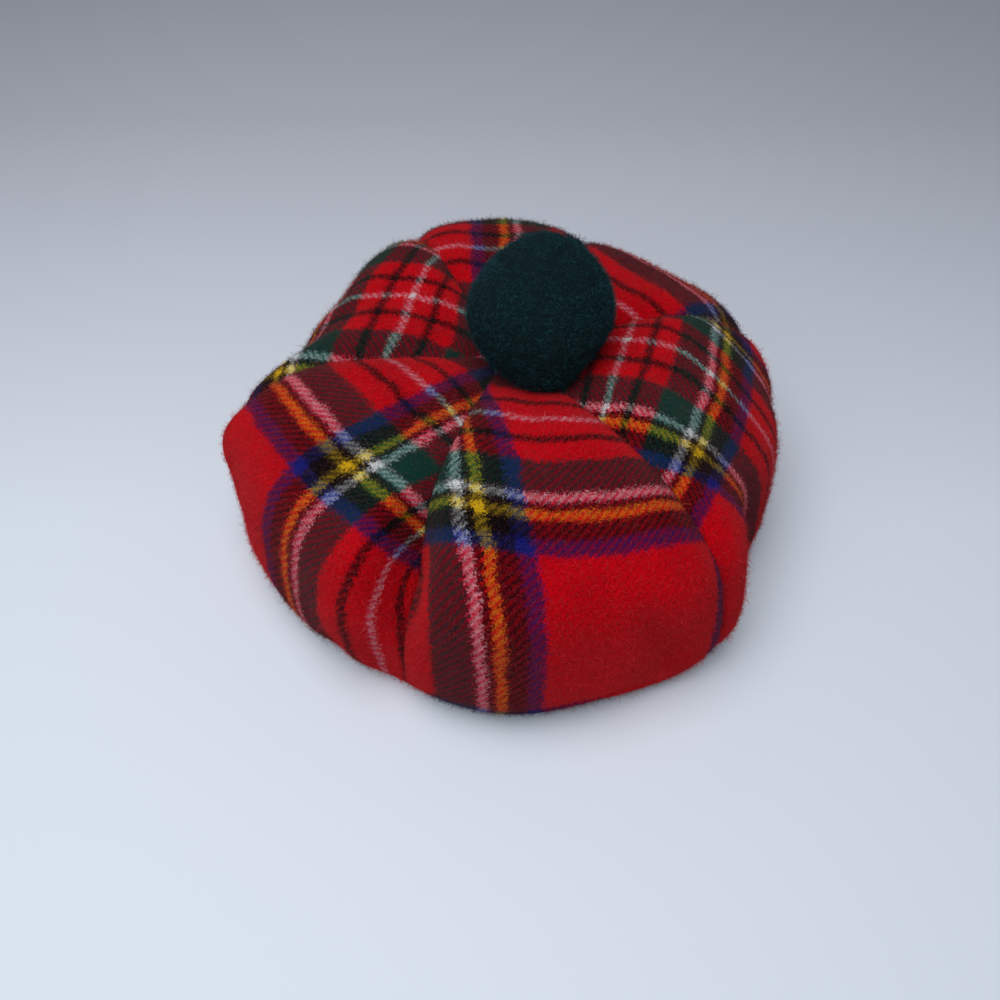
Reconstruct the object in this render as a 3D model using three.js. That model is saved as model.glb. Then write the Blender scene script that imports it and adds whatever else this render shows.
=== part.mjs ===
// A soft round tam o shanter: six cloth gores over a head band, with a felted pompom on the crown.
// Millimetres, +Z up, the front towards -Y, and z = 0 is the surface that the hat rests on. Azimuths
// are in degrees from the front, growing towards +X, about the middle of the head opening.
import * as THREE from "three";

const clothThickness = 2.0;
const seamGap = 0.3;
const bandGap = 0.5;
const crownHole = 3.0;
const crownOffset = { x: 2, y: 8 };
const bandThickness = 2.2;
const bandHeight = 24;
const pompomRadius = 31;
const pompomOffset = { x: 18, y: 3 };
const pompomSeat = 26;
const pompomClearance = 0.6;

const stepsAlong = 27;
const stepsAcross = 10;
const bandSides = 80;
const pompomDetail = 6;

const degrees = Math.PI / 180;

// The hat's section from the middle of the crown to the head band. "out" is a share of the rim's
// mean reach, "up" is a height, and "follow" is how far the row keeps to the rim's uneven outline.
const sections = [
  { name: "middle", out: 0.0, up: 83, follow: 0 },
  { name: "dip", out: 0.15, up: 85, follow: 0 },
  { name: "crown", out: 0.34, up: 91, follow: 0.1 },
  { name: "top", out: 0.54, up: 93, follow: 0.4 },
  { name: "shoulder", out: 0.75, up: 88, follow: 0.8 },
  { name: "brow", out: 0.94, up: 70, follow: 1 },
  { name: "side", out: 1.0, up: 40, follow: 1 },
  { name: "belly", out: 1.0, up: 14, follow: 1 },
  { name: "tuck", out: 0.92, up: 2.5, follow: 0.8 },
  { name: "hem", out: 0.66, up: 2.2, follow: 0 },
];

// How far the rim stands out, and how much the shoulder rises or sinks there.
const rim = [
  { azimuth: 0, reach: 132, lift: 0 },
  { azimuth: 20, reach: 133, lift: 0 },
  { azimuth: 40, reach: 138, lift: 0 },
  { azimuth: 60, reach: 127, lift: 1 },
  { azimuth: 80, reach: 129, lift: 1 },
  { azimuth: 100, reach: 132, lift: 2 },
  { azimuth: 120, reach: 130, lift: 2 },
  { azimuth: 140, reach: 124, lift: 1 },
  { azimuth: 160, reach: 127, lift: 1 },
  { azimuth: 180, reach: 134, lift: 3 },
  { azimuth: 200, reach: 124, lift: 6 },
  { azimuth: 220, reach: 112, lift: 7 },
  { azimuth: 240, reach: 104, lift: 0 },
  { azimuth: 260, reach: 109, lift: -2 },
  { azimuth: 280, reach: 126, lift: 3 },
  { azimuth: 300, reach: 124, lift: 3 },
  { azimuth: 320, reach: 124, lift: 0 },
  { azimuth: 340, reach: 125, lift: 0 },
];
const meanReach = 126;

// Each gore lies between two seams. "seamEnds" is the place where the valley along its first seam
// has run out.
const gores = [
  { name: "panel_front", from: -19, to: 41, seamEnds: 0.82 },
  { name: "panel_right", from: 41, to: 106, seamEnds: 1 },
  { name: "panel_back_right", from: 106, to: 156, seamEnds: 1 },
  { name: "panel_back", from: 156, to: 206, seamEnds: 1 },
  { name: "panel_back_left", from: 206, to: 278, seamEnds: 1 },
  { name: "panel_left", from: 278, to: 341, seamEnds: 1 },
];
const seamDepth = 3.5;
const seamWidth = 7;

// Dents (depth over 0) and lobes (under 0). "place" counts along the sections, from 0 at the
// middle of the crown to 1 at the hem; "across" and "along" are half widths in millimetres.
const folds = [
  { name: "front dimple", azimuth: -19, place: 0.54, depth: 16, across: 8, along: 24 },
  { name: "front groove", azimuth: -22, place: 0.73, depth: 4, across: 9, along: 18 },
  { name: "left front lobe", azimuth: -32, place: 0.6, depth: -5, across: 15, along: 26 },
  { name: "front red hollow", azimuth: 30, place: 0.72, depth: 4, across: 14, along: 14 },
  { name: "right valley", azimuth: 57, place: 0.66, depth: 8, across: 11, along: 26 },
  { name: "right front lobe", azimuth: 43, place: 0.68, depth: -3, across: 15, along: 22 },
  { name: "back left valley", azimuth: 262, place: 0.55, depth: 6, across: 16, along: 26 },
  { name: "back right valley", azimuth: 128, place: 0.6, depth: 4, across: 14, along: 24 },
];
const sectionLength = 230;

const tartanRed = { color: 0xb5081f, roughness: 0.95, metalness: 0 };
const bandRed = { color: 0x8a0a1c, roughness: 0.95, metalness: 0 };
const pompomGreen = { color: 0x0a2f32, roughness: 1, metalness: 0 };

function catmullRom(a, b, c, d, w) {
  const slopeB = (c - a) / 2;
  const slopeC = (d - b) / 2;
  const cubic = 2 * b - 2 * c + slopeB + slopeC;
  const square = -3 * b + 3 * c - 2 * slopeB - slopeC;
  return ((cubic * w + square) * w + slopeB) * w + b;
}

function alongSections(column, place) {
  const last = sections.length - 1;
  const row = Math.min(Math.floor(place * last), last - 1);
  const at = (index) => sections[Math.max(0, Math.min(last, index))][column];
  // The section runs straight through the middle of the crown, so "out" is mirrored there.
  const before = row === 0 ? (column === "out" ? -at(1) : at(1)) : at(row - 1);
  return catmullRom(before, at(row), at(row + 1), at(row + 2), place * last - row);
}

function aroundRim(column, azimuth) {
  const turn = (((azimuth % 360) + 360) % 360) / 360 * rim.length;
  const row = Math.floor(turn) % rim.length;
  const at = (index) => rim[(index + rim.length) % rim.length][column];
  return catmullRom(at(row - 1), at(row), at(row + 1), at(row + 2), turn - Math.floor(turn));
}

function smoothBody(azimuth, place) {
  const follow = alongSections("follow", place);
  const reach = meanReach + follow * (aroundRim("reach", azimuth) - meanReach);
  const radius = alongSections("out", place) * reach;
  const up = alongSections("up", place);
  const height = up + follow * aroundRim("lift", azimuth) * (up / 90) ** 2;
  const inward = Math.max(0, 1 - (radius / meanReach) ** 2) * (place < 0.6 ? 1 : 0);
  const x = radius * Math.sin(azimuth * degrees) + crownOffset.x * inward;
  const y = -radius * Math.cos(azimuth * degrees) + crownOffset.y * inward;
  return new THREE.Vector3(x, y, height);
}

function outwardNormal(azimuth, place) {
  const low = Math.max(place - 0.01, 0.004);
  const high = Math.min(place + 0.01, 1);
  const along = smoothBody(azimuth, high).sub(smoothBody(azimuth, low));
  const across = smoothBody(azimuth + 1, place).sub(smoothBody(azimuth - 1, place));
  return across.cross(along).negate().normalize();
}

function azimuthDifference(a, b) {
  return ((a - b + 540) % 360 + 360) % 360 - 180;
}

function inwardDent(azimuth, place, radius) {
  let dent = 0;
  for (const gore of gores) {
    const fromSeam = azimuthDifference(azimuth, gore.from) * degrees * radius;
    const remaining = Math.max(0, (gore.seamEnds - place) / 0.45);
    const seamFade = Math.min(1, place / 0.25) * Math.min(1, remaining);
    dent += seamDepth * seamFade * Math.exp(-((fromSeam / seamWidth) ** 2));
  }
  for (const fold of folds) {
    const sideways = azimuthDifference(azimuth, fold.azimuth) * degrees * radius;
    const lengthways = (place - fold.place) * sectionLength;
    dent += fold.depth * Math.exp(-((sideways / fold.across) ** 2) - (lengthways / fold.along) ** 2);
  }
  return dent;
}

function clothPoint(azimuth, place, depth) {
  const point = smoothBody(azimuth, place);
  const radius = Math.hypot(point.x, point.y);
  const inward = inwardDent(azimuth, place, radius) + depth;
  return point.addScaledVector(outwardNormal(azimuth, place), -inward);
}

// A closed body from an outer and an inner grid of points, with its four edges closed.
function shellGeometry(outer, inner, rows, columns) {
  const positions = [...outer, ...inner].flatMap((point) => [point.x, point.y, point.z]);
  const indices = [];
  const offset = outer.length;
  const index = (row, column) => row * columns + column;
  const quad = (a, b, c, d) => indices.push(a, b, c, a, c, d);
  for (let row = 0; row < rows - 1; row += 1) {
    for (let column = 0; column < columns - 1; column += 1) {
      const a = index(row, column);
      const b = index(row + 1, column);
      const c = index(row + 1, column + 1);
      const d = index(row, column + 1);
      quad(a, b, c, d);
      quad(offset + d, offset + c, offset + b, offset + a);
    }
  }
  for (let row = 0; row < rows - 1; row += 1) {
    const first = index(row, 0);
    const firstNext = index(row + 1, 0);
    quad(first, offset + first, offset + firstNext, firstNext);
    const last = index(row, columns - 1);
    const lastNext = index(row + 1, columns - 1);
    quad(lastNext, offset + lastNext, offset + last, last);
  }
  for (let column = 0; column < columns - 1; column += 1) {
    const top = index(0, column);
    const topNext = index(0, column + 1);
    quad(topNext, offset + topNext, offset + top, top);
    const end = index(rows - 1, column);
    const endNext = index(rows - 1, column + 1);
    quad(end, offset + end, offset + endNext, endNext);
  }
  const geometry = new THREE.BufferGeometry();
  geometry.setAttribute("position", new THREE.Float32BufferAttribute(positions, 3));
  geometry.setIndex(indices);
  geometry.computeVertexNormals();
  return geometry;
}

function makeGore(gore) {
  const outer = [];
  const inner = [];
  const firstPlace = crownHole / (sections[1].out * meanReach) / (sections.length - 1);
  for (let row = 0; row <= stepsAlong; row += 1) {
    const place = firstPlace + (1 - firstPlace) * (row / stepsAlong);
    const radius = alongSections("out", place) * meanReach;
    const trim = seamGap / 2 / radius / degrees;
    for (let column = 0; column <= stepsAcross; column += 1) {
      const across = column / stepsAcross;
      const azimuth = gore.from + trim + (gore.to - gore.from - 2 * trim) * across;
      outer.push(clothPoint(azimuth, place, 0));
      inner.push(clothPoint(azimuth, place, clothThickness));
    }
  }
  const geometry = shellGeometry(outer, inner, stepsAlong + 1, stepsAcross + 1);
  const mesh = new THREE.Mesh(geometry, new THREE.MeshStandardMaterial(tartanRed));
  mesh.name = gore.name;
  return mesh;
}

function makeHeadBand() {
  const outerRadius = alongSections("out", 1) * meanReach - bandGap;
  const innerRadius = outerRadius - bandThickness;
  const profile = [
    new THREE.Vector2(innerRadius, 0),
    new THREE.Vector2(outerRadius, 0),
    new THREE.Vector2(outerRadius, bandHeight),
    new THREE.Vector2(innerRadius, bandHeight),
    new THREE.Vector2(innerRadius, 0),
  ];
  const geometry = new THREE.LatheGeometry(profile, bandSides);
  geometry.rotateX(Math.PI / 2);
  const mesh = new THREE.Mesh(geometry, new THREE.MeshStandardMaterial(bandRed));
  mesh.name = "head_band";
  return mesh;
}

// The height of the crown's cloth under or over a point of the plan.
function crownHeightAt(x, y) {
  const azimuth = Math.atan2(x - crownOffset.x, crownOffset.y - y) / degrees;
  let near = 0;
  let far = 0.5;
  while (far - near > 0.001) {
    const middle = (near + far) / 2;
    const point = clothPoint(azimuth, middle, 0);
    const reached = Math.hypot(point.x - crownOffset.x, point.y - crownOffset.y);
    if (reached < Math.hypot(x - crownOffset.x, y - crownOffset.y)) {
      near = middle;
    } else {
      far = middle;
    }
  }
  return clothPoint(azimuth, near, 0).z;
}

// The ball's underside is pressed to the shape of the crown that it sits on.
function makePompom() {
  const geometry = new THREE.IcosahedronGeometry(pompomRadius, pompomDetail);
  const position = geometry.attributes.position;
  const centre = new THREE.Vector3(pompomOffset.x, pompomOffset.y, sections[0].up + pompomSeat);
  for (let index = 0; index < position.count; index += 1) {
    const x = position.getX(index) + centre.x;
    const y = position.getY(index) + centre.y;
    const crown = crownHeightAt(x, y) + pompomClearance - centre.z;
    position.setZ(index, Math.max(position.getZ(index), crown));
  }
  geometry.computeVertexNormals();
  const mesh = new THREE.Mesh(geometry, new THREE.MeshStandardMaterial(pompomGreen));
  mesh.position.copy(centre);
  mesh.name = "toorie";
  return mesh;
}

const group = new THREE.Group();
for (const gore of gores) {
  group.add(makeGore(gore));
}
group.add(makeHeadBand());
group.add(makePompom());

// The finished hat stands with the middle of its outline over the origin.
const outline = new THREE.Box3().setFromObject(group).getCenter(new THREE.Vector3());
group.position.set(-outline.x, -outline.y, 0);
group.updateMatrixWorld(true);

export default group;
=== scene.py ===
import math

import bpy
import numpy as np
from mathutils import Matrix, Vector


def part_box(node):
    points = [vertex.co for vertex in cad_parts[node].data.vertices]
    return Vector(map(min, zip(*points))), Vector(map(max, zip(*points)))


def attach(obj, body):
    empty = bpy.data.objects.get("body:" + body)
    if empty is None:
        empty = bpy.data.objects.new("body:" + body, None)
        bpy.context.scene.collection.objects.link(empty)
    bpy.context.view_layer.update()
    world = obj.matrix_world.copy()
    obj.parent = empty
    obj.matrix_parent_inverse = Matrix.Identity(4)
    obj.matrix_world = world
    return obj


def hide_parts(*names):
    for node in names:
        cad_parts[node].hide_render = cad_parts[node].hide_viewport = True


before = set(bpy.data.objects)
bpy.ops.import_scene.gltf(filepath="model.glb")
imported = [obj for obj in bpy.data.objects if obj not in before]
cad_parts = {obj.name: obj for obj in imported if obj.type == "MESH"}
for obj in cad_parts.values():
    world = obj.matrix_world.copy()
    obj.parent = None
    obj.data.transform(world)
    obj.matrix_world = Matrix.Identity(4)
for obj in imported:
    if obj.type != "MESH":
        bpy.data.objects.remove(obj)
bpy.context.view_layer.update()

mm = 0.001
rng = np.random.default_rng(1707)

# The hat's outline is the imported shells' own, in millimetres. From the middle of the crown to
# the hem: share of the reach, height, and how far a row keeps to the uneven rim.
sections = [
    ("middle", 0.0, 83, 0),
    ("dip", 0.15, 85, 0),
    ("crown", 0.34, 91, 0.1),
    ("top", 0.54, 93, 0.4),
    ("shoulder", 0.75, 88, 0.8),
    ("brow", 0.94, 70, 1),
    ("side", 1.0, 40, 1),
    ("belly", 1.0, 14, 1),
    ("tuck", 0.92, 2.5, 0.8),
    ("hem", 0.66, 2.2, 0),
]

# azimuth from the front, reach of the rim, lift of the shoulder
rim = [
    (0, 132, 0),
    (20, 133, 0),
    (40, 138, 0),
    (60, 127, 1),
    (80, 129, 1),
    (100, 132, 2),
    (120, 130, 2),
    (140, 124, 1),
    (160, 127, 1),
    (180, 134, 3),
    (200, 124, 6),
    (220, 112, 7),
    (240, 104, 0),
    (260, 109, -2),
    (280, 126, 3),
    (300, 124, 3),
    (320, 124, 0),
    (340, 125, 0),
]

# name, azimuth, place along the section, depth (a lobe is under 0), half widths across and along
folds = [
    ("front dimple", -19, 0.54, 16, 8, 24),
    ("front groove", -22, 0.73, 4, 9, 18),
    ("left front lobe", -32, 0.6, -5, 15, 26),
    ("front red hollow", 30, 0.72, 4, 14, 14),
    ("right valley", 57, 0.66, 8, 11, 26),
    ("right front lobe", 43, 0.68, -3, 15, 22),
    ("back left valley", 262, 0.55, 6, 16, 26),
    ("back right valley", 128, 0.6, 4, 14, 24),
]

# soft creases that only the cloth has: as above, with the degrees by which each leans
wrinkles = [
    ("front red groove", 27, 0.62, 4, 7, 25, 35),
    ("front tuck", 15, 0.775, 3, 24, 4, 0),
    ("left cheek", 289, 0.68, 4, 9, 18, 0),
    ("left knob", 283, 0.59, -3, 8, 13, 0),
    ("left front nick", 325, 0.77, 3.5, 7, 12, 0),
    ("dimple lip", -27, 0.5, -2.5, 7, 16, -12),
    ("crown pucker", -40, 0.3, 2, 6, 16, 20),
    ("right pucker", 66, 0.4, 2, 7, 18, -25),
    ("right fall", 88, 0.62, 3, 8, 20, 15),
    ("back fall", 182, 0.66, 4, 10, 22, -10),
    ("back right fall", 145, 0.7, 3, 9, 20, 12),
    ("back left fall", 228, 0.68, 4, 11, 22, -14),
    ("back left crease", 250, 0.4, 2, 7, 16, 25),
]

hat = {
    "meanReach": 126.0,
    "sectionLength": 230.0,
    "crownOffset": (2.0, 8.0),
    "crownEnds": 0.6,  # place along the section where the crown's shift to the back ends
    "liftFrom": 90,  # height at which the shoulder's lift is full
    "crownHole": 3.0,
    "clothThickness": 2.0,
    "seamGap": 0.16,
    "seamStarts": 0.25,
    "seamDepth": 3.5,
    "seamWidth": 7.0,
    "seamFade": 0.45,
    "creaseDepth": 1.3,
    "creaseWidth": 1.6,
    "creaseFade": 0.12,
    "lumpHeight": 0.5,
    "rows": 130,
    "columns": 72,
}


def columnsOf(table, *wanted):
    return [np.array([row[column] for row in table], float) for column in wanted]


sectionOut, sectionUp, sectionFollow = columnsOf(sections, 1, 2, 3)
rimReach, rimLift = columnsOf(rim, 1, 2)
bandLow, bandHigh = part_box("head_band")
middleX = (bandLow[0] + bandHigh[0]) / 2 / mm
middleY = (bandLow[1] + bandHigh[1]) / 2 / mm


def catmullRom(a, b, c, d, w):
    slopeB, slopeC = (c - a) / 2, (d - b) / 2
    cubic = 2 * b - 2 * c + slopeB + slopeC
    square = -3 * b + 3 * c - 2 * slopeB - slopeC
    return ((cubic * w + square) * w + slopeB) * w + b


def alongSections(column, place, mirrored=False):
    last = len(column) - 1
    row = np.clip(np.floor(place * last).astype(int), 0, last - 1)
    before = -column[1] if mirrored else column[1]
    padded = np.concatenate([[before], column, [column[-1]]])
    near = [padded[row + step] for step in range(4)]
    return catmullRom(*near, place * last - row)


def aroundRim(column, azimuth):
    count = len(column)
    turn = (azimuth % 360) / 360 * count
    row = np.floor(turn).astype(int) % count
    near = [column[(row + step) % count] for step in (-1, 0, 1, 2)]
    return catmullRom(*near, turn - np.floor(turn))


def smoothBody(azimuth, place):
    follow = alongSections(sectionFollow, place)
    reach = hat["meanReach"] + follow * (aroundRim(rimReach, azimuth) - hat["meanReach"])
    radius = alongSections(sectionOut, place, mirrored=True) * reach
    up = alongSections(sectionUp, place)
    height = up + follow * aroundRim(rimLift, azimuth) * (up / hat["liftFrom"]) ** 2
    inward = np.maximum(0, 1 - (radius / hat["meanReach"]) ** 2) * (place < hat["crownEnds"])
    turn = np.radians(azimuth)
    x = radius * np.sin(turn) + hat["crownOffset"][0] * inward
    y = -radius * np.cos(turn) + hat["crownOffset"][1] * inward
    return np.stack([x, y, height], -1)


def unitRows(vectors):
    return vectors / np.linalg.norm(vectors, axis=-1, keepdims=True)


def outwardNormal(azimuth, place):
    low, high = np.maximum(place - 0.01, 0.004), np.minimum(place + 0.01, 1)
    along = smoothBody(azimuth, high) - smoothBody(azimuth, low)
    across = smoothBody(azimuth + 1, place) - smoothBody(azimuth - 1, place)
    return unitRows(np.cross(along, across))


def azimuthDifference(a, b):
    return (a - b + 540) % 360 - 180


def softLumps(azimuth, place):
    # slow unevenness of slack wool, from a few waves that don't line up
    turn = np.radians(azimuth)
    slow = np.sin(5 * turn + 9 * place) * np.sin(11 * place + 2 * np.sin(3 * turn))
    quick = np.sin(13 * turn - 17 * place) * np.sin(23 * place + 1.7 * np.cos(7 * turn))
    return (slow + 0.5 * quick) * np.minimum(1, place / 0.2) * np.minimum(1, (1 - place) / 0.3)


def hollow(azimuth, place, radius, azimuthAt, placeAt, depth, across, along, lean=0):
    sideways = np.radians(azimuthDifference(azimuth, azimuthAt)) * radius
    lengthways = (place - placeAt) * hat["sectionLength"]
    cosine, sine = math.cos(math.radians(lean)), math.sin(math.radians(lean))
    aside = sideways * cosine - lengthways * sine
    onward = sideways * sine + lengthways * cosine
    return depth * np.exp(-(aside / across) ** 2 - (onward / along) ** 2)


def inwardDent(azimuth, place, radius):
    dent = np.zeros(np.broadcast(azimuth, place).shape)
    started = np.minimum(1, place / hat["seamStarts"])
    for gore in gores:
        fromSeam = np.radians(azimuthDifference(azimuth, gore["from"])) * radius
        left = gore["seamEnds"] - place
        valley = started * np.clip(left / hat["seamFade"], 0, 1)
        crease = started * np.clip(left / hat["creaseFade"], 0, 1)
        dent += hat["seamDepth"] * valley * np.exp(-(fromSeam / hat["seamWidth"]) ** 2)
        dent += hat["creaseDepth"] * crease * np.exp(-(fromSeam / hat["creaseWidth"]) ** 2)
    dent -= hat["lumpHeight"] * softLumps(azimuth, place)
    for _, *shape in folds + wrinkles:
        dent += hollow(azimuth, place, radius, *shape)
    return dent


def clothPoint(azimuth, place, depth=0.0):
    point = smoothBody(azimuth, place)
    radius = np.hypot(point[..., 0], point[..., 1])
    inward = inwardDent(azimuth, place, radius) + depth
    point = point - outwardNormal(azimuth, place) * inward[..., None]
    return (point + [middleX, middleY, 0]) * mm


# The gores, and how the tartan lies on each. "pivot" is how far from the crown's middle the
# ring of white pivots crosses the axis, "sag" and "tilt" how much later it crosses at the
# seams; "pivotAcross" is the tartan's place on the axis.
gores = [
    {"name": "front", "node": "panel_front", "from": -19, "to": 41, "axis": 11, "seamEnds": 0.82,
     "pivot": 53, "tilt": 8, "sag": 3, "shrink": 1.05, "pivotAcross": 74.5, "sense": 1,
     "gather": 0, "drift": 0, "lean": 4, "tuckFrom": 11, "tuckTo": 0},
    {"name": "right", "node": "panel_right", "from": 41, "to": 106, "axis": 73.5, "seamEnds": 1.0,
     "pivot": 53, "tilt": 0, "sag": 9, "shrink": 1.12, "pivotAcross": -16, "sense": 1,
     "gather": 0.45, "drift": 20, "lean": 4, "tuckFrom": 0, "tuckTo": 0},
    {"name": "back_right", "node": "panel_back_right", "from": 106, "to": 156, "axis": 131,
     "seamEnds": 1.0, "pivot": 53, "tilt": 0, "sag": 11, "shrink": 1.0, "pivotAcross": 103,
     "sense": 1, "gather": 0, "drift": 0, "lean": 0, "tuckFrom": 0, "tuckTo": 0},
    {"name": "back", "node": "panel_back", "from": 156, "to": 206, "axis": 181, "seamEnds": 1.0,
     "pivot": 64, "tilt": 0, "sag": 12, "shrink": 1.0, "pivotAcross": -52, "sense": -1,
     "gather": 0, "drift": 0, "lean": 0, "tuckFrom": 0, "tuckTo": 0},
    {"name": "back_left", "node": "panel_back_left", "from": 206, "to": 278, "axis": 242,
     "seamEnds": 1.0, "pivot": 50, "tilt": -8, "sag": 11, "shrink": 1.0, "pivotAcross": -2,
     "sense": 1, "gather": 0, "drift": -6, "lean": 16, "tuckFrom": 0, "tuckTo": 0},
    {"name": "left", "node": "panel_left", "from": 278, "to": 341, "axis": 309.5, "seamEnds": 1.0,
     "pivot": 46, "tilt": 0, "sag": 9, "shrink": 1.0, "pivotAcross": -70, "sense": 1,
     "gather": 0, "drift": 10, "lean": 2, "tuckFrom": 0, "tuckTo": 3},
]

# distances down the cloth from the crown's middle, in millimetres
lay = {
    "leanEnds": (20, 85),
    "spreads": (70, 125),
    "tucks": (60, 110),
    "tuckReach": 15.0,
    "bellyStarts": 135,
    "bellyShrink": 0.22,
}


def smoothStep(low, high, value):
    w = np.clip((value - low) / (high - low), 0, 1)
    return w * w * (3 - 2 * w)


def clothGrid(gore, rows, columns):
    # points of the outer face, their azimuths and places, and the tartan's coordinates in metres
    first = hat["crownHole"] / (sectionOut[1] * hat["meanReach"]) / (len(sections) - 1)
    place = np.linspace(first, 1, rows + 1)[:, None] + np.zeros((1, columns + 1))
    radius = alongSections(sectionOut, place, mirrored=True) * hat["meanReach"]
    trim = np.degrees(hat["seamGap"] / 2 / radius)
    share = np.linspace(0, 1, columns + 1)[None, :]
    azimuth = gore["from"] + trim + (gore["to"] - gore["from"] - 2 * trim) * share
    points = clothPoint(azimuth, place)

    down = np.linalg.norm(np.diff(points, axis=0), axis=-1) / mm
    length = hat["crownHole"] + np.concatenate([np.zeros((1, columns + 1)), np.cumsum(down, 0)])
    side = np.linalg.norm(np.diff(points, axis=1), axis=-1) / mm
    across = np.concatenate([np.zeros((rows + 1, 1)), np.cumsum(side, 1)], axis=1)
    axisShare = (gore["axis"] - gore["from"]) / (gore["to"] - gore["from"])
    axisAt = np.array([np.interp(axisShare, share[0], row) for row in across])[:, None]
    lateral = across - axisAt

    u = 2 * share - 1
    later = gore["tilt"] * u
    clothDown = (length - gore["pivot"] - later - gore["sag"] * u ** 2) * gore["shrink"]
    clothDown = clothDown - lay["bellyShrink"] * np.maximum(0, length - lay["bellyStarts"])
    out = smoothStep(*lay["spreads"], length)
    clothAcross = gore["pivotAcross"] + gore["sense"] * lateral * (1 + gore["gather"] * out)
    leaning = gore["lean"] * (1 - smoothStep(*lay["leanEnds"], length))
    clothAcross = clothAcross + gore["drift"] * out + leaning
    window = smoothStep(*lay["tucks"], length)
    for tuck, fromSeam in (("tuckFrom", across), ("tuckTo", across[:, -1:] - across)):
        clothAcross = clothAcross + gore[tuck] * window * np.exp(-fromSeam / lay["tuckReach"])
    cloth = np.stack([clothAcross, clothDown], -1) * mm
    return points, azimuth, place, cloth


def newMesh(name, points, faces, attributes=()):
    mesh = bpy.data.meshes.new(name)
    mesh.from_pydata(points.tolist(), [], faces)
    for key, values in attributes:
        padded = np.concatenate([values, np.zeros((len(values), 3 - values.shape[1]))], axis=1)
        layer = mesh.attributes.new(key, "FLOAT_VECTOR", "POINT")
        layer.data.foreach_set("vector", padded.astype(np.float32).ravel())
    mesh.polygons.foreach_set("use_smooth", [True] * len(mesh.polygons))
    mesh.update()
    piece = bpy.data.objects.new(name, mesh)
    bpy.context.scene.collection.objects.link(piece)
    return piece


def closedShell(outer, inner, rows, columns):
    index = np.arange((rows + 1) * (columns + 1)).reshape(rows + 1, columns + 1)
    corners = [index[:-1, :-1], index[1:, :-1], index[1:, 1:], index[:-1, 1:]]
    faces = np.stack([corner.ravel() for corner in corners], -1)
    count = len(outer)
    loop = np.concatenate([index[:, 0], index[-1, 1:], index[-2::-1, -1], index[0, -2:0:-1]])
    after = np.roll(loop, -1)
    edge = np.stack([after, loop, loop + count, after + count], -1)
    return np.concatenate([outer, inner]), np.concatenate([faces, faces[:, ::-1] + count, edge])


def makeGore(gore):
    rows, columns = hat["rows"], hat["columns"]
    points, azimuth, place, cloth = clothGrid(gore, rows, columns)
    inner = clothPoint(azimuth, place, hat["clothThickness"])
    shell, faces = closedShell(points.reshape(-1, 3), inner.reshape(-1, 3), rows, columns)
    bothFaces = np.concatenate([cloth.reshape(-1, 2)] * 2)
    return newMesh(f"{gore['name']}_gore", shell, faces.tolist(), [("cloth", bothFaces)])


class Value:
    def __init__(self, shader, socket):
        self.shader, self.socket = shader, socket

    def math(self, operation, *others):
        return self.shader.math(operation, self, *others)

    def __add__(self, other): return self.math("ADD", other)
    def __radd__(self, other): return self.shader.math("ADD", other, self)
    def __sub__(self, other): return self.math("SUBTRACT", other)
    def __rsub__(self, other): return self.shader.math("SUBTRACT", other, self)
    def __mul__(self, other): return self.math("MULTIPLY", other)
    def __rmul__(self, other): return self.shader.math("MULTIPLY", other, self)
    def __truediv__(self, other): return self.math("DIVIDE", other)
    def __rtruediv__(self, other): return self.shader.math("DIVIDE", other, self)
    def __pow__(self, other): return self.math("POWER", other)
    def __rpow__(self, other): return self.shader.math("POWER", other, self)


class Shader:
    def __init__(self, name):
        self.material = bpy.data.materials.new(name)
        self.material.use_nodes = True
        self.tree = self.material.node_tree
        self.tree.nodes.clear()

    def node(self, kind, settings=None, **sockets):
        # a socket is named with _ for a space, or numbered as in _0
        made = self.tree.nodes.new(kind)
        for key, value in (settings or {}).items():
            if key == "stops":
                self.setStops(made.color_ramp, value)
            else:
                setattr(made, key, value)
        for key, value in sockets.items():
            place = int(key[1:]) if key[0] == "_" else key.replace("_", " ")
            self.feed(made.inputs[place], value)
        return made

    def feed(self, socket, value):
        if isinstance(value, Value):
            self.tree.links.new(value.socket, socket)
        else:
            socket.default_value = value

    def setStops(self, ramp, stops):
        while len(ramp.elements) > 1:
            ramp.elements.remove(ramp.elements[-1])
        for step, (position, colour) in enumerate(stops):
            element = ramp.elements[0] if step == 0 else ramp.elements.new(position)
            element.position, element.color = position, colour

    def value(self, node, output=0):
        return Value(self, node.outputs[output])

    def math(self, operation, *operands):
        sockets = {f"_{step}": operand for step, operand in enumerate(operands)}
        return self.value(self.node("ShaderNodeMath", {"operation": operation}, **sockets))

    def mixColours(self, factor, a, b, blend="MIX"):
        settings = {"data_type": "RGBA", "blend_type": blend}
        return self.value(self.node("ShaderNodeMix", settings, _0=factor, _6=a, _7=b), 2)

    def noise(self, place, scale, detail=2.0, distortion=0.0):
        sockets = {"Vector": place, "Scale": scale, "Detail": detail, "Distortion": distortion}
        return self.value(self.node("ShaderNodeTexNoise", {"noise_dimensions": "3D"}, **sockets), 0)

    def objectPlace(self):
        return self.value(self.node("ShaderNodeTexCoord"), 3)

    def finish(self, surface):
        out = self.node("ShaderNodeOutputMaterial")
        self.tree.links.new(surface.outputs[0], out.inputs["Surface"])
        return self.material


def clamped(value):
    return value.math("MAXIMUM", 0.0).math("MINIMUM", 1.0)


def toLinear(*srgb):
    parts = [c / 255 for c in srgb]
    return tuple(c / 12.92 if c < 0.04045 else ((c + 0.055) / 1.055) ** 2.4 for c in parts) + (1.0,)


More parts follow.
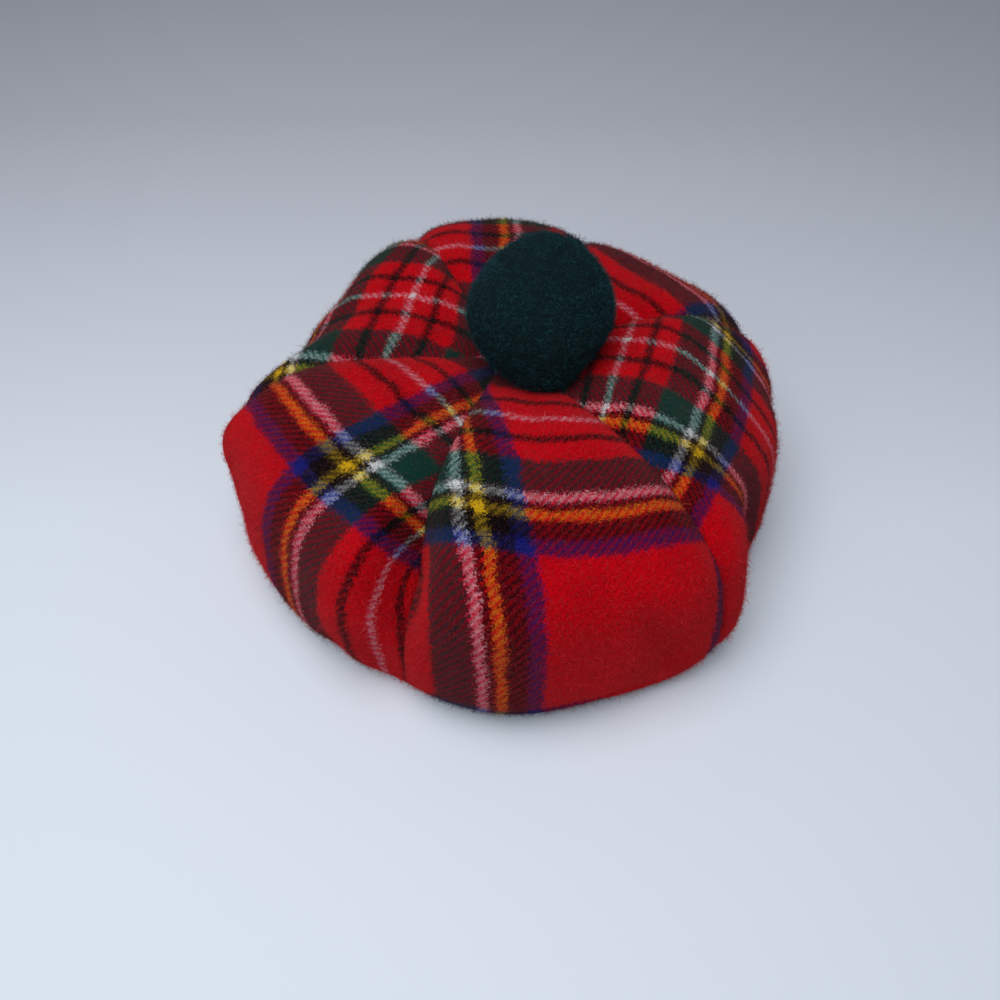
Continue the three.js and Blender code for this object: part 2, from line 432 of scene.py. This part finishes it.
tartan = {
    "red": toLinear(188, 1, 20),
    "black": toLinear(9, 7, 9),
    "green": toLinear(7, 58, 50),
    "blue": toLinear(18, 30, 112),
    "yellow": toLinear(206, 166, 24),
    "white": toLinear(205, 210, 212),
    # outer edge of each stripe from the pivot, in millimetres of the half sett
    "stripes": [("white", 1.3), ("red", 10.6), ("black", 14.7), ("red", 24.7), ("green", 39.5),
                ("black", 40.8), ("white", 44.6), ("black", 48.2), ("yellow", 52.0),
                ("black", 60.5), ("blue", 66.8), ("red", 102.8)],
    "edgeBlur": 0.9,
    "threadPitch": 0.92,
    "threadWander": 0.18,  # share of the wander that the threads themselves follow
    "wander": 8.0,  # millimetres, from the noise's lowest to its highest
    "drift": 4.0,
    "twill": 0.75,  # how firmly the weave picks one thread over the other
    # painted shade: the felted mix leans to the darker thread, standing in for the shade between
    # threads
    "fray": (1.8, 4.0),
    "feltAndShade": 0.68,
    "feltAndShadeGamma": 0.56,
    "fibreContrast": 2.2,
    "patchContrast": 0.4,
    "fibreBase": 0.72,
    "stray": toLinear(180, 60, 70),
    "strayShare": 0.3,
    # painted sheen: the loose hairs are lightened towards pale pink for light scattered through
    # them
    "hairSheen": toLinear(215, 150, 155),
    "hairSheenShare": 0.06,
    "relief": (0.12, 1.2, 0.8),  # of the twill, the fibres and the tufts
    "reliefDepth": 0.0012,
}


def stripeRamp(shader, across):
    # distance from the nearest pivot as a share of the half sett, read through a ramp of stripes
    half = tartan["stripes"][-1][1]
    turns = across / (2 * half * mm)
    folded = ((turns + 0.5).math("FRACT") - 0.5).math("ABSOLUTE") * 2
    blur = tartan["edgeBlur"] / half
    stops, inner = [], 0.0
    for name, outer in tartan["stripes"]:
        start, end = inner / half, outer / half
        pad = min(blur, (end - start)) / 2
        stops.append((start + (pad if stops else 0), tartan[name]))
        stops.append((end - pad, tartan[name]))
        inner = outer
    return shader.value(shader.node("ShaderNodeValToRGB", {"stops": stops}, Fac=folded))


def tartanShader(name, forNap=False):
    shader = Shader(name)
    cloth = shader.node("ShaderNodeAttribute", {"attribute_name": "cloth"})
    parts = shader.node("ShaderNodeSeparateXYZ", None, Vector=shader.value(cloth, 1))
    v, h = shader.value(parts, 0), shader.value(parts, 1)
    place = shader.objectPlace()
    # brushed wool: loose fibres carry each stripe's colour a little over its edge
    fine, finer = shader.noise(place, 900.0, 2.0) - 0.5, shader.noise(place, 2300.0, 3.0, 1.5) - 0.5
    swapped = shader.node("ShaderNodeMapping", None, Vector=place, Location=(0.3, 0.7, 0.1))
    other = shader.noise(shader.value(swapped), 1100.0, 3.0, 1.2) - 0.5
    slow = (shader.noise(place, 70.0, 2.0) - 0.5) * (tartan["drift"] * mm)
    wander = (fine + finer * 0.8) * (tartan["wander"] * mm)
    across = (other + finer * 0.8) * (tartan["wander"] * mm)
    warp = stripeRamp(shader, v + wander + slow)
    weft = stripeRamp(shader, h + across - slow)
    # two threads over and two under, a step aside at each thread
    pitch = tartan["threadPitch"] * mm
    upright = ((v + wander * tartan["threadWander"]) / pitch).math("FLOOR")
    level = ((h + across * tartan["threadWander"]) / pitch).math("FLOOR")
    over = ((upright + level) / 4).math("FRACT").math("LESS_THAN", 0.49)
    fray, frayFiner = tartan["fray"]
    frayed = (over - 0.5) * tartan["twill"] + (fine + other) * fray + finer * frayFiner
    over = clamped(frayed + 0.5)
    wave = ((v + h) / (4 * pitch) * (2 * math.pi)).math("SINE")
    colour = shader.mixColours(over, warp, weft)
    # felted threads take on the darker of the two: partly real felting, partly painted shade that
    # falls between the threads
    both = shader.mixColours(1.0, warp, weft, "MULTIPLY")
    felted = shader.node("ShaderNodeGamma", None, Color=both, Gamma=tartan["feltAndShadeGamma"])
    colour = shader.mixColours(tartan["feltAndShade"], colour, shader.value(felted))
    # light and dark fibres of the nap
    fibres = shader.noise(place, 1500.0, 4.0, 1.6)
    patches = shader.noise(place, 45.0, 3.0) * tartan["patchContrast"]
    light = (fibres - 0.5) * tartan["fibreContrast"] + patches + tartan["fibreBase"]
    grey = shader.node("ShaderNodeCombineXYZ", None, X=light, Y=light, Z=light)
    colour = shader.mixColours(1.0, colour, shader.value(grey), "MULTIPLY")
    strays = clamped((shader.noise(shader.value(swapped), 1900.0, 3.0, 2.5) - 0.6) * 4.0)
    colour = shader.mixColours(strays * tartan["strayShare"], colour, tartan["stray"])
    settings = {"Base Color": colour, "Roughness": 0.95, "Specular IOR Level": 0.04,
                "Sheen Weight": 0.05, "Sheen Roughness": 0.4,
                "Sheen Tint": (1.0, 0.6, 0.62, 1.0)}
    if forNap:
        # painted sheen: the hairs' colour is lightened towards pale pink
        settings["Base Color"] = shader.mixColours(tartan["hairSheenShare"], colour, tartan["hairSheen"])
    else:
        twillRelief, fibreRelief, tuftRelief = tartan["relief"]
        tufts = shader.noise(place, 320.0, 3.0)
        height = wave * twillRelief + fibres * fibreRelief + tufts * tuftRelief
        bump = shader.node("ShaderNodeBump", None, Strength=0.6, Distance=tartan["reliefDepth"],
                           Height=height)
        settings["Normal"] = shader.value(bump)
    return shader.finish(shader.node("ShaderNodeBsdfPrincipled", None, **settings))


felt = {"spread": 1.1, "patchSpread": 0.5, "patchSize": 18, "relief": 0.6, "reliefDepth": 0.001}


def feltShader(name, dark, light, scale):
    shader = Shader(name)
    place = shader.objectPlace()
    fibres = shader.noise(place, scale, 4.0, 1.5)
    patches = shader.noise(place, scale / felt["patchSize"], 2.0)
    blend = clamped((fibres - 0.3) * felt["spread"] + (patches - 0.5) * felt["patchSpread"])
    colour = shader.mixColours(blend, dark, light)
    bump = shader.node("ShaderNodeBump", None, Strength=felt["relief"],
                       Distance=felt["reliefDepth"], Height=fibres)
    settings = {"Base Color": colour, "Roughness": 0.95, "Specular IOR Level": 0.15,
                "Normal": shader.value(bump)}
    return shader.finish(shader.node("ShaderNodeBsdfPrincipled", None, **settings))


# loose hairs that stand out of the brushed cloth
nap = {
    "hairs": 20000,
    "rows": 90,
    "columns": 50,
    "hemRows": 12,
    "hemShare": 0.3,  # fewer hairs where the hat lies on its hem
    "longest": 2.8,
    "shortest": 1.0,
    "wisps": 0.12,  # share of the hairs that are this many times longer
    "wispLength": 1.9,
    "rootDepth": 0.2,
    "width": 0.19,
    "lift": 0.72,
    "liftSpread": 0.25,
    "curl": 1.3,
    "segments": 2,
}


def alongSurface(loose, outward):
    return loose - outward * (loose * outward).sum(1, keepdims=True)


def ribbons(roots, normals, heading, lengths, lifts, widths, segments, curl):
    # each hair is a narrow ribbon that leaves its root along the cloth and curls up off it
    count = len(roots)
    side = unitRows(np.cross(normals, heading))
    facing = rng.uniform(0, 2 * math.pi, (count, 1))
    across = np.cos(facing) * side + np.sin(facing) * normals
    points = []
    here = roots.copy()
    for step in range(segments + 1):
        share = step / segments
        wide = widths * (1 - 0.75 * share)
        points += [here - across * wide[:, None] / 2, here + across * wide[:, None] / 2]
        bend = curl[:, None] * (share - 0.2)
        direction = heading * np.cos(bend) + side * np.sin(bend)
        rise = lifts[:, None] * (1 - 0.8 * share)
        direction = direction * np.sqrt(np.maximum(0, 1 - rise ** 2)) + normals * rise
        here = here + direction * (lengths / segments)[:, None]
    grid = np.stack(points, 1)
    base = np.arange(count)[:, None] * (2 * (segments + 1))
    faces = [base + np.array([[2 * k, 2 * k + 1, 2 * k + 3, 2 * k + 2]]) for k in range(segments)]
    return grid.reshape(-1, 3), np.concatenate(faces)


def makeNap(gore):
    points, azimuth, place, cloth = clothGrid(gore, nap["rows"], nap["columns"])
    normals = outwardNormal(azimuth, place)
    corner, below, beside = points[:-1, :-1], points[1:, :-1], points[:-1, 1:]
    areas = np.linalg.norm(np.cross(below - corner, beside - corner), axis=-1)
    areas[-nap["hemRows"]:] *= nap["hemShare"]
    chosen = rng.choice(areas.size, nap["hairs"], p=(areas / areas.sum()).ravel())
    row, column = np.unravel_index(chosen, areas.shape)
    s, t = rng.uniform(0, 1, (2, nap["hairs"], 1))

    def between(field):
        low = field[row, column] * (1 - t) + field[row, column + 1] * t
        high = field[row + 1, column] * (1 - t) + field[row + 1, column + 1] * t
        return low * (1 - s) + high * s

    roots, outward, coordinates = between(points), unitRows(between(normals)), between(cloth)
    heading = unitRows(alongSurface(rng.normal(size=roots.shape), outward))
    lengths = rng.uniform(nap["shortest"], nap["longest"], len(roots)) * mm
    lengths *= np.where(rng.uniform(size=len(roots)) < nap["wisps"], nap["wispLength"], 1)
    lifts = np.clip(rng.normal(nap["lift"], nap["liftSpread"], len(roots)), 0.12, 0.95)
    widths = rng.uniform(0.7, 1.3, len(roots)) * nap["width"] * mm
    curl = rng.normal(0, nap["curl"], len(roots))
    grid, faces = ribbons(roots - outward * nap["rootDepth"] * mm, outward, heading, lengths,
                          lifts, widths, nap["segments"], curl)
    grid[:, 2] = np.maximum(grid[:, 2], 0)  # none through the surface it lies on
    coordinates = np.repeat(coordinates, 2 * (nap["segments"] + 1), axis=0)
    return newMesh(f"{gore['name']}_nap", grid, faces.tolist(), [("cloth", coordinates)])


pompom = {
    "rings": 96,
    "ballInset": 1.2,
    "lumpHeight": 0.2,
    # direction, waves around the ball, phase
    "lumps": [((0.8, 0.1, 0.6), 5.0, 0.4), ((-0.3, 0.9, 0.2), 7.0, 1.3),
              ((0.2, -0.5, 0.8), 11.0, 2.1), ((0.9, 0.4, -0.4), 17.0, 0.7)],
    # where the ball is pinched out or pressed in: direction, millimetres, width in radians
    "bumps": [((0.46, 0.69, 0.56), 3.2, 0.13), ((0.8, -0.47, -0.38), -3.5, 0.4),
              ((0.05, 0.78, 0.63), 3.0, 0.5), ((0.0, -0.78, -0.63), 4.0, 0.4),
              ((-0.9, -0.1, 0.1), 2.0, 0.5)],
    "clearance": 0.5,
    "curls": 20000,
    "curlsDrawn": 25000,  # those that would start under the ball are left out
    "curlInset": 1.5,
    "curlClearance": 2.0,
    "curlLength": 4.2,
    "curlWidth": 0.17,
    "lift": 0.6,
    "liftSpread": 0.28,
    "curl": 2.6,
    "segments": 4,
    "core": toLinear(2, 20, 22),
    "dark": toLinear(2, 26, 32),
    "light": toLinear(46, 104, 114),
    "coreFibres": 900.0,
    "curlFibres": 500.0,
}


def crownHeight(x, y):
    # height of the cloth under points of the plan, in metres, by halving the way out along it
    offsetX, offsetY = hat["crownOffset"]
    dx, dy = x / mm - middleX - offsetX, y / mm - middleY - offsetY
    azimuth, wanted = np.degrees(np.arctan2(dx, -dy)), np.hypot(dx, dy)
    near, far = np.full(x.shape, 0.004), np.full(x.shape, 0.5)
    for _ in range(12):
        half = (near + far) / 2
        point = clothPoint(azimuth, half) / mm - [middleX, middleY, 0]
        inside = np.hypot(point[..., 0] - offsetX, point[..., 1] - offsetY) < wanted
        near, far = np.where(inside, half, near), np.where(inside, far, half)
    return clothPoint(azimuth, near)[..., 2]


def pinched(unit):
    total = np.zeros(len(unit))
    for direction, height, width in pompom["bumps"]:
        facing = np.array(direction) / np.linalg.norm(direction)
        angle = np.arccos(np.clip(unit @ facing, -1, 1))
        total += height * np.exp(-(angle / width) ** 2)
    return total[:, None] * mm


def makeBall(centre, radius):
    rings, around = pompom["rings"], pompom["rings"] * 2
    polar = np.linspace(0, math.pi, rings + 1)[1:-1, None]
    turn = np.linspace(0, 2 * math.pi, around, endpoint=False)[None, :]
    unit = np.stack([np.sin(polar) * np.cos(turn), np.sin(polar) * np.sin(turn),
                     np.cos(polar) + 0 * turn], -1).reshape(-1, 3)
    unit = np.concatenate([unit, [[0, 0, 1], [0, 0, -1]]])
    uneven = sum(np.sin(unit @ np.array(axis) * rate + phase)
                 for axis, rate, phase in pompom["lumps"])
    lumps = uneven[:, None] * pompom["lumpHeight"] * mm
    points = centre + unit * (radius - pompom["ballInset"] * mm + lumps + pinched(unit))
    seat = crownHeight(points[:, 0], points[:, 1]) + pompom["clearance"] * mm
    points[:, 2] = np.maximum(points[:, 2], seat)
    index = np.arange((rings - 1) * around).reshape(rings - 1, around)
    right = np.roll(index, -1, axis=1)
    faces = np.stack([index[:-1], index[1:], right[1:], right[:-1]], -1).reshape(-1, 4).tolist()
    top, bottom = len(unit) - 2, len(unit) - 1
    faces += [[top, a, b] for a, b in zip(index[0].tolist(), right[0].tolist())]
    faces += [[bottom, b, a] for a, b in zip(index[-1].tolist(), right[-1].tolist())]
    return newMesh("pompom_ball", points, faces)


def makeCurls(centre, radius):
    # dense curls all over, none where the ball sits on the cloth
    loose = unitRows(rng.normal(size=(pompom["curlsDrawn"], 3)))
    roots = centre + loose * (radius - pompom["curlInset"] * mm + pinched(loose))
    seat = crownHeight(roots[:, 0], roots[:, 1]) + pompom["curlClearance"] * mm
    clear = roots[:, 2] > seat
    roots, outward = roots[clear][:pompom["curls"]], loose[clear][:pompom["curls"]]
    count = len(roots)
    heading = unitRows(alongSurface(rng.normal(size=(count, 3)), outward))
    lengths = rng.uniform(0.5, 1.0, count) * pompom["curlLength"] * mm
    lifts = np.clip(rng.normal(pompom["lift"], pompom["liftSpread"], count), 0.2, 0.97)
    widths = rng.uniform(0.7, 1.3, count) * pompom["curlWidth"] * mm
    curl = rng.normal(0, pompom["curl"], count)
    grid, faces = ribbons(roots, outward, heading, lengths, lifts, widths, pompom["segments"],
                          curl)
    return newMesh("pompom_curls", grid, faces.tolist())


def makePompom():
    low, high = (np.array(c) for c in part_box("toorie"))
    radius = (high[0] - low[0]) / 2
    centre = np.array([(low[0] + high[0]) / 2, (low[1] + high[1]) / 2, high[2] - radius])
    return makeBall(centre, radius), makeCurls(centre, radius)


band = {
    "turns": 160,
    "steps": 10,
    "thickness": 2.2,
    "ripples": 23,
    "rippleHeight": 0.15,
    "colour": toLinear(128, 6, 24),
    "shade": toLinear(78, 4, 16),
    "fibres": 700.0,
}


def makeBand():
    low, high = (np.array(c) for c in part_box("head_band"))
    middle = (low + high) / 2
    thick, tall = band["thickness"] * mm, high[2] - low[2]
    # an upright ribbon with softly rolled edges, its foot flat on the surface
    climb = [k / band["steps"] for k in range(1, band["steps"])]
    ring = [(-0.5, 0.0), (0.5, 0.0), (0.5, 0.02)] + [(0.5, up) for up in climb]
    ring += [(0.5, 0.97), (0.25, 1.0), (-0.25, 1.0), (-0.5, 0.97)]
    ring += [(-0.5, up) for up in reversed(climb)]
    out, up = np.array(ring).T[:, None, :]
    turn = np.linspace(0, 2 * math.pi, band["turns"], endpoint=False)[:, None]
    ripple = band["rippleHeight"] * mm * np.sin(turn * band["ripples"]) * np.sin(up * math.pi)
    radius = (high[0] - low[0]) / 2 - thick / 2 + out * thick + ripple
    points = np.stack([middle[0] + radius * np.cos(turn), middle[1] + radius * np.sin(turn),
                       low[2] + up * tall + 0 * turn], -1)
    index = np.arange(band["turns"] * len(ring)).reshape(band["turns"], len(ring))
    right, above = np.roll(index, -1, axis=0), np.roll(index, -1, axis=1)
    faces = np.stack([index, right, np.roll(right, -1, axis=1), above], -1).reshape(-1, 4)
    return newMesh("head_band_cloth", points.reshape(-1, 3), faces.tolist())


studio = {
    "floor": toLinear(208, 217, 229),
    "floorFalloffShade": toLinear(184, 188, 199),
    "floorHalf": 3,
    "backStarts": 0.02,  # where the painted shade of the floor starts, in metres in front of the middle, and how far on the floor is darkest
    "backReach": 0.42,
    "sky": toLinear(226, 232, 240),
    "skyStrength": 0.31,
    # name, place, target, size, power, colour
    "lights": [("overhead", (-0.15, -0.22, 0.92), (0, -0.05, 0), 0.8, 7.6, (1.0, 0.985, 0.97)),
               ("window", (-0.7, -0.7, 0.75), (0, 0, 0.04), 0.7, 1.8, (0.95, 0.975, 1.0))],
    "cameraBack": 268.0,
    "cameraUp": 321.0,
    "cameraPitch": 51.2,
    "sensor": 36.0,
    "focal": 0.8,  # as a share of the picture's width
}


def areaLight(name, place, target, size, power, colour):
    light = bpy.data.lights.new(name, "AREA")
    light.shape, light.size, light.energy, light.color = "DISK", size, power, colour
    lamp = bpy.data.objects.new(name, light)
    lamp.location = place
    aim = np.array(target) - np.array(place)
    flat = math.hypot(aim[0], aim[1])
    turn = math.atan2(aim[1], aim[0]) - math.pi / 2
    lamp.rotation_euler = (math.atan2(flat, -aim[2]), 0, turn)
    bpy.context.scene.collection.objects.link(lamp)


def makeFloor():
    shader = Shader("studio_floor")
    apart = shader.node("ShaderNodeSeparateXYZ", None, Vector=shader.objectPlace())
    # painted shade: the floor darkens towards the back, where less light falls
    back = (shader.value(apart, 1) + studio["backStarts"]) / studio["backReach"]
    colour = shader.mixColours(clamped(back) ** 0.8, studio["floor"], studio["floorFalloffShade"])
    settings = {"Base Color": colour, "Roughness": 0.7}
    surface = shader.node("ShaderNodeBsdfPrincipled", None, **settings)
    half = studio["floorHalf"]
    corners = np.array([(-half, -half, 0.0), (half, -half, 0.0), (half, half, 0.0),
                        (-half, half, 0.0)])
    floor = newMesh("studio_floor", corners, [[0, 1, 2, 3]])
    floor.data.materials.append(shader.finish(surface))


def makeStudio():
    scene = bpy.context.scene
    makeFloor()
    world = bpy.data.worlds.new("studio")
    scene.world = world
    world.use_nodes = True
    background = world.node_tree.nodes["Background"]
    background.inputs[0].default_value = studio["sky"]
    background.inputs[1].default_value = studio["skyStrength"]
    for light in studio["lights"]:
        areaLight(*light)
    scene.view_settings.view_transform = "Standard"

    camera = bpy.data.cameras.new("camera")
    camera.sensor_width, camera.lens = studio["sensor"], studio["sensor"] * studio["focal"]
    eye = bpy.data.objects.new("camera", camera)
    eye.location = (middleX * mm, (middleY - studio["cameraBack"]) * mm, studio["cameraUp"] * mm)
    eye.rotation_euler = (math.radians(90 - studio["cameraPitch"]), 0, 0)
    scene.collection.objects.link(eye)
    scene.camera = eye


makeStudio()
print("studio", len(studio["lights"]), "lights")

tartanCloth, tartanNap = tartanShader("tartan_cloth"), tartanShader("tartan_nap", forNap=True)
for gore in gores:
    panel, hairs = makeGore(gore), makeNap(gore)
    panel.data.materials.append(tartanCloth)
    hairs.data.materials.append(tartanNap)
    for piece in (panel, hairs):
        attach(piece, "root")
    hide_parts(gore["node"])
    print("gore", gore["name"], len(panel.data.polygons), len(hairs.data.polygons))

ball, curls = makePompom()
felted = feltShader("felt_core", pompom["core"], pompom["dark"], pompom["coreFibres"])
ball.data.materials.append(felted)
curled = feltShader("felt_curls", pompom["dark"], pompom["light"], pompom["curlFibres"])
curls.data.materials.append(curled)
for piece in (ball, curls):
    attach(piece, "root")
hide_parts("toorie")
print("pompom", len(ball.data.polygons), len(curls.data.polygons))

bandCloth = makeBand()
bandWool = feltShader("band_wool", band["shade"], band["colour"], band["fibres"])
bandCloth.data.materials.append(bandWool)
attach(bandCloth, "root")
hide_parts("head_band")
print("band", len(bandCloth.data.polygons))
